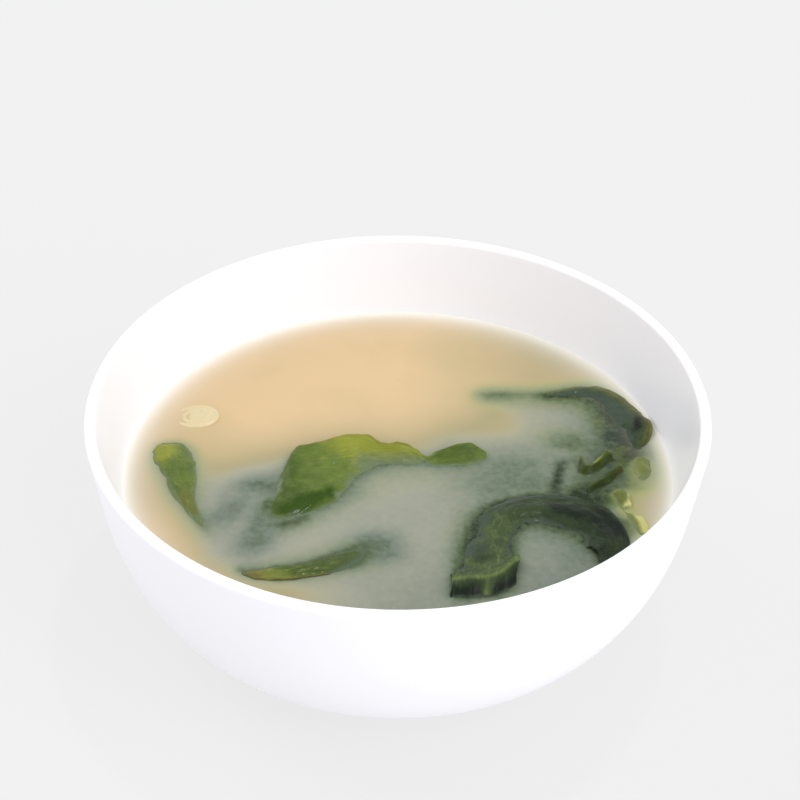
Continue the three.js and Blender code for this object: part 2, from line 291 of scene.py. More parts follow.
material, tree, shader = new_material("white_glaze")
place = node(tree, "ShaderNodeTexCoord").outputs["Object"]
height = node(tree, "ShaderNodeSeparateXYZ", Vector=place).outputs["Z"]
glaze = mixed(tree, mottle(tree, place, 18.0, 2.0), GLAZE_WARM, GLAZE_COOL)
bare = ranged(tree, height, BARE_BELOW, GLAZED_ABOVE, 1.0, 0.0)
feed(
    tree, shader, Base_Color=mixed(tree, bare, glaze, BARE_CLAY),
    Roughness=ranged(tree, bare, 0.0, 1.0, GLAZE_ROUGHNESS, CLAY_ROUGHNESS),
    Normal=bumped(tree, mottle(tree, place, 60.0, 1.0), 0.12, 0.2 * MM),
    Coat_Weight=0.15, Coat_Roughness=0.12,
)
bowl.data.materials.append(material)
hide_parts("bowl")
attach(bowl, "root")


# ---------------------------------------------------------------------------------------------
# Wakame: thin wet seaweed. Each leaf is a sheet through rows of places, with crinkles that run along
# it, and is then given its thickness. A place is x, y and height over the broth in millimetres. The
# margins of most leaves dip under the broth. On a leaf, u and v go from 0 to 1 along and across it.
LEAF_THICKNESS = 0.7 * MM
RIM_ROUNDING = 0.4 * LEAF_THICKNESS
RIM_ANGLE = math.radians(60)
SAG_MARGIN = 0.4
PLEATS, PUCKERS, LINES = Vector((0.09, 0.26, 1)), Vector((0.3, 0.6, 1)), Vector((0.5, 2.2, 1))
PUCKER_SHARE, LINE_SHARE = 0.5, 0.2
RUFFLES, SWAYS = Vector((0.4, 0.4, 1)), Vector((0.3, 0.3, 1))
SWAY_INSIDE = 0.3
SWAY_SEED = 2
RIM_BAND = 0.2
FILM_TOP = 0.6 * MM
FILM_WANDER = 0.35 * MM
BROWN_RIM = srgb(118, 103, 48)
THIN_WANDER = 0.13
# How much lighter the wrinkle crests are painted: a painted highlight.
CREST_LIGHT = 1.5

noise.seed_set(SWAY_SEED)  # without it, noise_vector starts at a place drawn by the clock


def along_curve(values, share):
    """A smooth curve through the values, at a share from 0 to 1 of the way along them."""
    last = len(values) - 1
    at = min(max(share, 0), 1) * last
    i = min(int(at), last - 1)
    t = at - i
    p1, p2 = values[i], values[i + 1]
    p0 = values[i - 1] if i > 0 else p1 * 2 - p2
    p3 = values[i + 2] if i + 2 <= last else p2 * 2 - p1
    return (
        p1 + (p2 - p0) * (t / 2)
        + (p0 * 2 - p1 * 5 + p2 * 4 - p3) * (t * t / 2)
        + (p1 * 3 - p0 - p2 * 3 + p3) * (t ** 3 / 2)
    )


def near(distance, reach):
    """1 where the distance is 0, fading evenly to 0 at the reach."""
    return max(0, 1 - abs(distance) / reach)


def through_rows(*rows, sag=0):
    """A sheet through rows of places. u runs along a row and v from the first row to the last."""
    rows = [[Vector(place) for place in row] for row in rows]

    def place(u, v):
        point = along_curve([along_curve(row, u) for row in rows], v)
        point.z -= sag * near(min(u, 1 - u, v, 1 - v), SAG_MARGIN) ** 2
        return point
    return place


def length_of(path, steps=24):
    """Length of a path that is given as a function of a share from 0 to 1."""
    return sum((path((i + 1) / steps) - path(i / steps)).length for i in range(steps))


def spot(point, start, end, reach):
    """1 on the line from start to end, in plan, fading to 0 over reach beside it."""
    start, end, here = Vector(start), Vector(end), point.xy
    run = end - start
    share = min(max((here - start).dot(run) / run.length_squared, 0), 1)
    return math.exp(-((here - start - run * share).length / reach) ** 2)


def nowhere(point, u, v):
    """None of it on the whole leaf."""
    return 0


def leaf_mesh(shape, along, across, crinkle, seed, glow, brown=nowhere, washed=nowhere, ruffle=0.0):
    """The middle surface of a leaf as a bmesh.

    Each place on it keeps how light it is, from its thinness and from painted highlights and shade,
    how brown, and how much more broth clings to it than its height over the level gives, less if
    negative.
    """
    bm = bmesh.new()
    bmesh.ops.create_grid(bm, x_segments=along, y_segments=across, size=1, calc_uvs=False)
    uv_layer = bm.loops.layers.uv.new("leaf")
    glow_layer = bm.verts.layers.float.new("glow")
    brown_layer = bm.verts.layers.float.new("brown")
    washed_layer = bm.verts.layers.float.new("washed")
    length = length_of(lambda share: shape(share, 0.5))
    width = length_of(lambda share: shape(0.5, share))
    on_leaf = {}
    for vert in bm.verts:
        u, v = (vert.co.x + 1) / 2, (vert.co.y + 1) / 2
        point = shape(u, v)
        vert[glow_layer] = glow(point, u, v)
        vert[brown_layer] = brown(point, u, v)
        vert[washed_layer] = washed(point, u, v)
        spread = Vector((u * length, v * width, seed))
        on_leaf[vert] = spread.xy * MM
        rim = near(min(v, 1 - v), RIM_BAND) ** 2
        pleats, puckers, lines = (noise.noise(spread * wave) for wave in (PLEATS, PUCKERS, LINES))
        point.z += crinkle * (pleats + PUCKER_SHARE * puckers + LINE_SHARE * lines)
        point.z += ruffle * rim * noise.noise(spread * RUFFLES)
        sway = noise.noise_vector(spread * SWAYS) * ruffle * (SWAY_INSIDE + (1 - SWAY_INSIDE) * rim)
        point.x += sway.x
        point.y += sway.y
        vert.co = point * MM + Vector((0, 0, SOUP_LEVEL))
    for face in bm.faces:
        for loop in face.loops:
            loop[uv_layer].uv = on_leaf[loop.vert]
    bmesh.ops.recalc_face_normals(bm, faces=bm.faces)
    return bm


def maths(tree, operation, *values, clamp=False):
    """The output of a Math node that works on the values."""
    made = node(tree, "ShaderNodeMath", {"operation": operation, "use_clamp": clamp})
    for socket, value in zip(made.inputs, values):
        plug(tree, socket, value)
    return made.outputs[0]


def wakame_group():
    """Node group: colour, roughness and height of wet seaweed, from how thin and brown it is,
    from painted highlights on the wrinkle crests, and from the painted light and shade in Glow.
    """
    group = bpy.data.node_groups.new("wakame_skin", "ShaderNodeTree")
    vector, number, colour = "NodeSocketVector", "NodeSocketFloat", "NodeSocketColor"
    for way, name, kind in (
        ("INPUT", "Place", vector), ("INPUT", "Leaf", vector), ("INPUT", "Glow", number),
        ("INPUT", "Brown", number), ("INPUT", "Washed", number), ("INPUT", "Dark", colour),
        ("INPUT", "Middle", colour), ("INPUT", "Thin", colour), ("INPUT", "Film", colour),
        ("OUTPUT", "Color", colour), ("OUTPUT", "Roughness", number), ("OUTPUT", "Height", number),
    ):
        group.interface.new_socket(name, in_out=way, socket_type=kind)
    given = node(group, "NodeGroupInput").outputs
    blotches = mottle(group, given["Place"], 260.0, 3.0, Roughness=0.6)
    pores = mottle(group, given["Place"], 1500.0, 2.0)
    along_leaf = node(group, "ShaderNodeMapping", Vector=given["Leaf"], Scale=(300, 1100, 1))
    wrinkles = mottle(group, along_leaf.outputs["Vector"], 1.0, 3.0, Roughness=0.6, Distortion=1.0)

    spread = ranged(group, blotches, 0.3, 0.7, -THIN_WANDER, THIN_WANDER)
    # Painted highlights: the colour is lighter along the crests of the wrinkles.
    crest_highlights = ranged(group, wrinkles, 0.52, 0.72, 1.0, CREST_LIGHT)
    # Glow holds how thin the leaf is and, in places, painted light and shade.
    thinness_and_light = maths(group, "ADD", given["Glow"], spread)
    lit = maths(group, "MULTIPLY", thinness_and_light, crest_highlights, clamp=True)
    darker_part = mixed(group, ranged(group, lit, 0.0, 0.5), given["Dark"], given["Middle"])
    flesh = mixed(group, ranged(group, lit, 0.5, 1.0), darker_part, given["Thin"])
    browned = mixed(group, given["Brown"], flesh, BROWN_RIM)

    height = node(group, "ShaderNodeSeparateXYZ", Vector=given["Place"]).outputs["Z"]
    wander = ranged(group, blotches, 0.3, 0.7, -FILM_WANDER, FILM_WANDER)
    uneven = maths(group, "ADD", height, wander)
    low_share = ranged(group, uneven, SOUP_LEVEL, SOUP_LEVEL + FILM_TOP, 1.0, 0.0, smooth=True)
    film_share = maths(group, "ADD", low_share, given["Washed"], clamp=True)
    node(
        group, "NodeGroupOutput", Color=mixed(group, film_share, browned, given["Film"]),
        Roughness=ranged(group, pores, 0.3, 0.7, 0.22, 0.42),
        Height=maths(group, "ADD", wrinkles, blotches),
    )
    return group


WAKAME_SKIN = wakame_group()


def painted(tree, layer):
    """The number that the mesh keeps under that name at each place."""
    return node(tree, "ShaderNodeAttribute", {"attribute_name": layer}).outputs["Fac"]


def wakame_material(name, dark, middle, thin, film):
    """Wet seaweed: its colours where it is thick, between, and thin, which also serve for painted
    shade and highlights, and under a film of broth.
    """
    material, tree, shader = new_material(name)
    skin = node(
        tree, "ShaderNodeGroup", {"node_tree": WAKAME_SKIN},
        Place=node(tree, "ShaderNodeTexCoord").outputs["Object"],
        Leaf=node(tree, "ShaderNodeUVMap", {"uv_map": "leaf"}).outputs["UV"],
        Glow=painted(tree, "glow"), Brown=painted(tree, "brown"), Washed=painted(tree, "washed"),
        Dark=dark, Middle=middle, Thin=thin, Film=film,
    ).outputs
    feed(
        tree, shader, Base_Color=skin["Color"], Roughness=skin["Roughness"],
        Normal=bumped(tree, skin["Height"], 0.4, 0.25 * MM),
        Specular_IOR_Level=0.12, Coat_Weight=0.08, Coat_Roughness=0.1,
    )
    return material


GREEN_WAKAME = wakame_material(
    "wakame_green", srgb(46, 70, 4), srgb(94, 112, 48), srgb(136, 142, 52), srgb(104, 118, 86),
)
DARK_WAKAME = wakame_material(
    "wakame_dark", srgb(18, 30, 16), srgb(57, 73, 42), srgb(102, 118, 62), srgb(62, 76, 62),
)
OLIVE_WAKAME = wakame_material(
    "wakame_olive", srgb(26, 38, 0), srgb(72, 88, 34), srgb(122, 132, 60), srgb(80, 95, 72),
)
PALE_WAKAME = wakame_material(
    "wakame_pale", srgb(84, 92, 28), srgb(112, 122, 62), srgb(200, 196, 124), srgb(116, 127, 84),
)
leaf_surfaces = []


def add_leaf(name, node_name, material, slot, shows, green=0.0, **leaf):
    """Adds a leaf, which stands for its CAD node if it has one.

    shows and green are how dark and how yellow-green it looks just under the broth.
    """
    bm = leaf_mesh(**leaf)
    leaf_surfaces.append((bm.copy(), shows, green))
    made = mesh_object(name, bm)
    made.data.materials.append(material)
    skin = made.modifiers.new("thickness", "SOLIDIFY")
    skin.thickness = LEAF_THICKNESS
    skin.offset = 0
    rim = made.modifiers.new("round_rim", "BEVEL")
    rim.width = RIM_ROUNDING
    rim.segments = 2
    rim.limit_method = "ANGLE"
    rim.angle_limit = RIM_ANGLE
    if node_name:
        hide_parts(node_name)
    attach(made, "root")


add_leaf(
    "leaf_left", "wakame_left", GREEN_WAKAME, "wakame", shows=0.75, green=0.4,
    shape=through_rows(
        [
            (-58.4, 9.6, -0.4), (-53.8, 8.8, 0), (-50.2, 3, -0.5), (-48.8, -5, -0.8),
            (-48.6, -13, -0.9), (-45.8, -19.8, -0.9), (-43.6, -25.8, -1.7),
        ],
        [
            (-60, 7.8, 0.2), (-56.6, 5.4, 1.4), (-53.9, -0.2, 1.3), (-52.2, -7, 1.1),
            (-50.4, -13.4, 0.8), (-47.3, -20.3, 0), (-44.6, -26.3, -1.4),
        ],
        [
            (-61.2, 5.8, -0.4), (-60, 1.6, -0.3), (-57.6, -3.6, -0.8), (-55.6, -9.2, -0.7),
            (-52.4, -15, -0.5), (-48.8, -21, -0.7), (-45.6, -26.8, -1.7),
        ],
    ),
    along=90, across=30, crinkle=0.35, seed=11, ruffle=0.25,
    glow=lambda p, u, v: 0.42 + 0.8 * spot(p, (-59.6, 6), (-58, 4.4), 3),
    brown=lambda p, u, v: 0.35 * spot(p, (-51.4, -12.5), (-46, -23), 3),
    washed=lambda p, u, v: 0.3 * near(v, 1 / 3) - 0.5 * near(u, 1 / 2),
)
add_leaf(
    "leaf_middle", "wakame_middle", GREEN_WAKAME, "wakame", shows=0.8, green=0.2,
    shape=through_rows(
        [
            (-27, 1.8, 0.7), (-25, 5.4, 2.4), (-19.5, 6, 3.2), (-13, 7.6, 4.8), (-8, 7.4, 4.9),
            (-3.4, 5.8, 3.7), (1, 5.9, 3.6), (4.8, 5.2, 2.1), (7, 4.4, 0.2), (11.4, 5.4, 2),
            (17.4, 6.4, 3.1), (21.6, 6.4, 0.6),
        ],
        [
            (-28.6, -4, -0.3), (-25.6, -2.4, 0.9), (-20, -0.8, 1.2), (-14.6, 1, 1.2),
            (-9.4, 2.6, 1), (-4.4, 3.2, 0.8), (0, 3.4, 0.6), (4, 3, 0.2), (7, 2.6, -0.5),
            (11.4, 3.2, 0.9), (17, 3.6, 1), (22.4, 3.4, -1.4),
        ],
        [
            (-31, -15, -0.6), (-27, -13.4, 0.6), (-20.6, -11, 1.1), (-14.4, -7.6, 0.2),
            (-9.2, -4.6, -1), (-4.4, -2.4, -2), (-0.2, -1.6, -2.3), (4, -1.4, -2.3),
            (7.4, -1.4, -2.1), (11.8, -1.2, -1.8), (17.4, -0.6, -1.8), (23, -0.4, -2.6),
        ],
        [
            (-33.4, -27, -1.9), (-28.4, -27, -1.9), (-18.8, -20.4, -2.2), (-11.2, -15, -2.6),
            (-6.4, -11.6, -3), (-2.6, -9.6, -3.6), (1, -8.8, -3.8), (5, -8.2, -4),
            (8.4, -7.8, -3.8), (12.6, -7.2, -3.6), (18, -6, -3.6), (24, -5, -4),
        ],
    ),
    along=180, across=90, crinkle=0.5, seed=23, ruffle=0.5,
    # Painted light and shade: lighter along its raised top, darker towards its low lower-left end.
    glow=lambda p, u, v: (
        0.46 + 0.5 * spot(p, (-14, 7), (-7, 6), 4.5) + 0.45 * spot(p, (-1, 5.5), (4, 5.5), 3)
        - 0.5 * spot(p, (-22.5, -14), (-16.5, -10.5), 2.4)
        - 0.24 * spot(p, (-27, -2), (-27, -20), 5)
        - 0.16 * spot(p, (12, 4), (17, 5), 4) - 0.2 * spot(p, (-25, -17), (-30, -15), 4)
    ),
    brown=lambda p, u, v: 0.3 * near(v, 1 / 16),
    washed=lambda p, u, v: (
        0.75 * spot(p, (-8, 1.6), (4, 2.6), 3) - 0.6 * near(v, 1 / 3)
        - 0.8 * spot(p, (-29, -15), (-21, -17), 3.5)
    ),
)
add_leaf(
    "leaf_front_left", "wakame_front_left", OLIVE_WAKAME, "wakame", shows=0.85, green=0.3,
    shape=through_rows(
        [
            (-38, -36.1, -1.4), (-33, -36.2, -1.4), (-28, -34.4, -1.6), (-22, -33.4, -1.6),
            (-16, -29.8, -1.6), (-9.6, -26, -1.8), (-2.6, -23, -2.6),
        ],
        [
            (-38.5, -37.3, -1.1), (-33, -38.5, 0.2), (-28, -37.9, 0.6), (-22, -36.8, 0.8),
            (-15, -34.2, 0.6), (-9, -31.4, 0), (-1.6, -28.6, -1.7),
        ],
        [
            (-38.8, -38.5, -1.3), (-33.6, -40.3, -0.1), (-28, -41.2, 0.1), (-21.5, -40.1, 0.1),
            (-14, -38.4, -0.6), (-7, -37, -1.6), (0.4, -36, -2.8),
        ],
    ),
    along=110, across=34, crinkle=0.35, seed=31, ruffle=0.4,
    glow=lambda p, u, v: 0.5 + 0.3 * spot(p, (-32, -39), (-25, -40.6), 2) - 0.3 * max(0, u - 0.3),
    brown=lambda p, u, v: 0.6 * spot(p, (-38, -37), (-32, -39.6), 2) + 0.4 * near(1 - v, 1 / 8),
    washed=lambda p, u, v: 0.7 * max(0, u - 0.4) - 0.4 * near(1 - v, 1 / 4),
)


def hook_fold_shade(point):
    """Where painted shade darkens the fold inside the bend of the hooked leaf."""
    return spot(point, (57, 19), (58.6, 11), 2)


def hook_washed(point, u, v):
    """Bare along its outer margin, at its raised tip and in the fold, and filmed further in."""
    tip = spot(point, (62.5, 20), (61.5, 10), 2)
    inwards = min(0.9, max(-0.9, 10 * (v - 0.3)))
    return inwards * (1 - tip) - 0.9 * tip - 0.9 * hook_fold_shade(point)


add_leaf(
    "leaf_back_right", "wakame_back_right", DARK_WAKAME, "wakame", shows=1.05, green=0.5,
    shape=through_rows(
        [
            (19, 32.6, -2.6), (25.5, 33, -1.8), (33, 33.2, -2.1), (39.8, 33, -1), (46, 34.6, -0.6),
            (51.2, 34.8, -0.5), (56.2, 32.4, -0.4), (60, 27.4, -0.3), (62.2, 22.6, 0.1),
            (64.3, 17.4, 1.1), (63.6, 12.8, 0.3), (61.4, 8.4, -0.9),
        ],
        [
            (19.5, 30.6, -2.2), (25, 30.8, -0.9), (33, 30.7, -1.6), (39, 30.8, -0.3),
            (45, 32.3, 0.3), (50, 32.4, 0.4), (54.2, 30.2, 0.4), (57.9, 25.9, 0.35),
            (60.6, 21.7, 0.7), (62.2, 17.2, 1.5), (61.8, 12.6, 0.7), (60, 8, -0.6),
        ],
        [
            (20, 28.8, -2.8), (26, 28.8, -2.1), (33, 28.8, -2.5), (38.4, 28.4, -1.6),
            (44.2, 29.2, -1.2), (49, 28.6, -0.9), (52, 26, -0.6), (54.4, 22.2, -0.5),
            (56, 18.2, -0.5), (57, 14.6, -0.6), (57.2, 11.4, -0.7), (56.4, 8, -0.9),
        ],
        [
            (20.4, 26.6, -4), (26, 26.6, -3.5), (33, 26.6, -3.8), (38, 26, -3), (42.4, 26, -2.4),
            (45.4, 24.4, -2), (47.4, 21.6, -1.9), (48.8, 18.2, -1.7), (49.8, 15, -1.6),
            (50.4, 12.4, -1.6), (50.6, 10.4, -1.6), (50.6, 8.6, -1.8),
        ],
    ),
    along=200, across=60, crinkle=0.35, seed=43, ruffle=0.4,
    # Painted shade darkens the fold inside the bend.
    glow=lambda p, u, v: (
        0.55 + 0.3 * near(v, 1 / 5) - 0.35 * hook_fold_shade(p)
        - 0.7 * spot(p, (60.9, 19.5), (60.7, 16), 1.4)
    ),
    brown=lambda p, u, v: 0.6 * near(v, 1 / 2.4),
    washed=hook_washed,
)
add_leaf(
    "leaf_curl_back", "wakame_curl_back", OLIVE_WAKAME, "wakame", shows=0.9,
    shape=through_rows(
        [
            (45.4, 4.2, 1.3), (46.4, 1, 1.3), (48, 0.8, 1.5), (50, 2.6, 1.9), (51.6, 4.9, 2.1),
            (53, 5.1, 1.5),
        ],
        [
            (44.8, 1, 0.3), (46.2, -0.6, 0.4), (48.2, 0, 0.4), (50.4, 1.8, 0.4), (52, 3.8, 0.4),
            (53.4, 4.4, 0.2),
        ],
        [
            (44.4, -2.8, -1.2), (46.4, -2.8, -1), (48.8, -1.4, -1), (50.9, 0.6, -1),
            (52.6, 2.6, -1), (54, 3.6, -1.2),
        ],
    ),
    along=60, across=24, crinkle=0.3, seed=53, ruffle=0.5,
    glow=lambda p, u, v: 0.2 + 0.5 * near(v, 1 / 4),
    washed=lambda p, u, v: -0.5,
)
add_leaf(
    "leaf_curl_front", "wakame_curl_front", OLIVE_WAKAME, "wakame", shows=0.9,
    shape=through_rows(
        [
            (46.4, -8, 0.9), (47.8, -6.6, 1.4), (49.6, -5.1, 1.6), (51.8, -3, 1.5), (54, -0.4, 1.3),
            (55, 0.8, 0.8),
        ],
        [
            (46.4, -8.9, 0.3), (48.1, -7.6, 0.4), (50, -5.9, 0.4), (52.2, -3.8, 0.4),
            (54.4, -1.2, 0.3), (55.4, 0, 0.1),
        ],
        [
            (46.4, -9.7, -0.4), (48.4, -8.7, -0.6), (50.4, -6.8, -0.7), (52.6, -4.6, -0.8),
            (54.7, -2.1, -0.8), (55.7, -0.9, -0.8),
        ],
    ),
    along=60, across=20, crinkle=0.25, seed=61, ruffle=0.4,
    glow=lambda p, u, v: 0.12 + 0.2 * near(v, 1 / 4),
    washed=lambda p, u, v: -0.5,
    brown=lambda p, u, v: 0.6 * max(0, u - 0.6),
)


def arch_glow(point, u, v):
    """Lighter along the crest of its raised end, a painted highlight, and down one streak; dark on
    the face below it, a painted shadow.

    Painted shade darkens it along its second half, and it has a few dark spots.
    """
    # The crest carries a painted highlight, and the face below it a painted shadow.
    crest_highlight, face, streak = near(u - 0.086, 0.012), near(u - 0.036, 0.05), near(v - 0.55, 0.12)
    dark_spots = (
        0.3 * spot(point, (38, -15), (43, -18), 1.6) + 0.3 * spot(point, (48, -18), (52, -23), 2.2)
        + 0.25 * spot(point, (19.5, -30), (19.5, -34), 1.6)
    )
    # Painted shade: the leaf darkens along its second half.
    darker_part = min(1, max(0, u - 0.35) / 0.4)
    return 0.56 + 0.3 * crest_highlight - 0.42 * darker_part - 0.75 * face * (1 - 1.6 * streak) - dark_spots


add_leaf(
    "leaf_arch", "wakame_arch", DARK_WAKAME, "wakame", shows=0.97, green=0.25,
    shape=through_rows(
        [
            (11.6, -49.4, -2.6), (12.6, -42.2, 1.9), (12.6, -37.6, -0.8), (12.4, -31.4, -1.7),
            (12.8, -25, -1.9), (15, -17, -2), (21.4, -9.6, -2), (31, -6.6, -2), (40.4, -6.6, -2.2),
            (48.2, -10.8, -2.2), (52.6, -16.2, -1.6), (55, -24.2, -1.5), (56, -31, -1.8),
        ],
        [
            (16.6, -48.8, -2.6), (17.4, -42.4, 2.4), (17.6, -37.4, 0.4), (17.6, -31, -0.2),
            (18.4, -24.6, -0.3), (20.6, -18, -0.3), (25.2, -13.4, -0.3), (32.2, -11.2, -0.2),
            (40.2, -11, -0.1), (47.4, -13.8, 0.3), (51.4, -18.2, 0.55), (53.8, -25.2, 0.5),
            (54.4, -32, -0.8),
        ],
        [
            (22, -48, -2.6), (23, -41.4, 2.7), (23.4, -36.4, 0.9), (24, -30.8, 0.4),
            (24.8, -24.8, 0.4), (26.4, -20.4, 0.5), (29.2, -17, 0.6), (34, -16, 0.8),
            (40.4, -17.4, 0.8), (45.4, -20, 0.7), (48, -23.4, 0.7), (50.2, -28.2, 0.6),
            (51.2, -34.4, -0.8),
        ],
        [
            (27, -46, -2.6), (28.2, -35.6, 2.3), (28.2, -32.4, 0), (29.6, -29, -1.7),
            (30.4, -25.8, -2), (32, -24, -2), (33.8, -24, -2), (36.6, -25, -1.8), (40, -27, -1.6),
            (43, -28.4, -1), (45.4, -29.4, 0.3), (46.8, -31.8, 0.6), (48, -36.6, -1.4),
        ],
    ),
    along=260, across=60, crinkle=0.45, seed=71, ruffle=0.6,
    glow=arch_glow,
)
add_leaf(
    "leaf_pale", "wakame_pale", PALE_WAKAME, "pale_wakame", shows=0.6, green=1,
    shape=through_rows(
        [(57.8, 6.6, -2), (60.2, 7, -1.4), (62.8, 6.6, -2)],
        [(57.2, 3.2, -1.2), (60.4, 3.6, 0.4), (64, 3.4, -1.2)],
        [(57.2, -1.6, -1.2), (60.2, -1.4, 0.3), (63.6, -1.8, -1.2)],
        [(58, -6.8, -2), (60, -7.2, -1.6), (62, -7, -2)],
    ),
    along=44, across=50, crinkle=0.25, seed=83, ruffle=0.4,
    glow=lambda p, u, v: 0.5,
)
add_leaf(
    "leaf_yellow", "wakame_yellow", PALE_WAKAME, "pale_wakame", shows=0.35, green=1,
    shape=through_rows(
        [
            (52, -8.6, -0.6), (52.8, -11.8, -0.4), (54.4, -15.2, -0.3), (55.8, -19.6, -0.3),
            (57.4, -24.4, -0.6),
        ],
        [
            (53.8, -8.2, 0.7), (54.4, -11.8, 0.9), (55.5, -15.2, -0.5), (57, -19.2, 0.7),
            (58.6, -23.6, 0),
        ],
        [
            (56, -8.8, 0), (56.4, -12.6, 0.3), (56.6, -15.8, -0.7), (59, -18.8, 0.3),
            (60.4, -23, -0.6),
        ],
    ),
    along=70, across=20, crinkle=0.25, seed=97, ruffle=0.4,
    # Pale lines along its right edges: thin margins, with a painted highlight on them.
    glow=lambda p, u, v: (
        0.2 + 0.3 * spot(p, (52.4, -8.6), (54, -8.8), 1)
        + 0.7 * spot(p, (56.4, -9), (56.6, -12.4), 1.3)
        + 0.9 * spot(p, (55.4, -14), (57, -14.6), 1.2)
        + spot(p, (57.8, -16.4), (59.4, -23), 1.6)
    ),
    washed=lambda p, u, v: -0.9 * spot(p, (56.4, -9), (59.4, -23), 1.4),
)


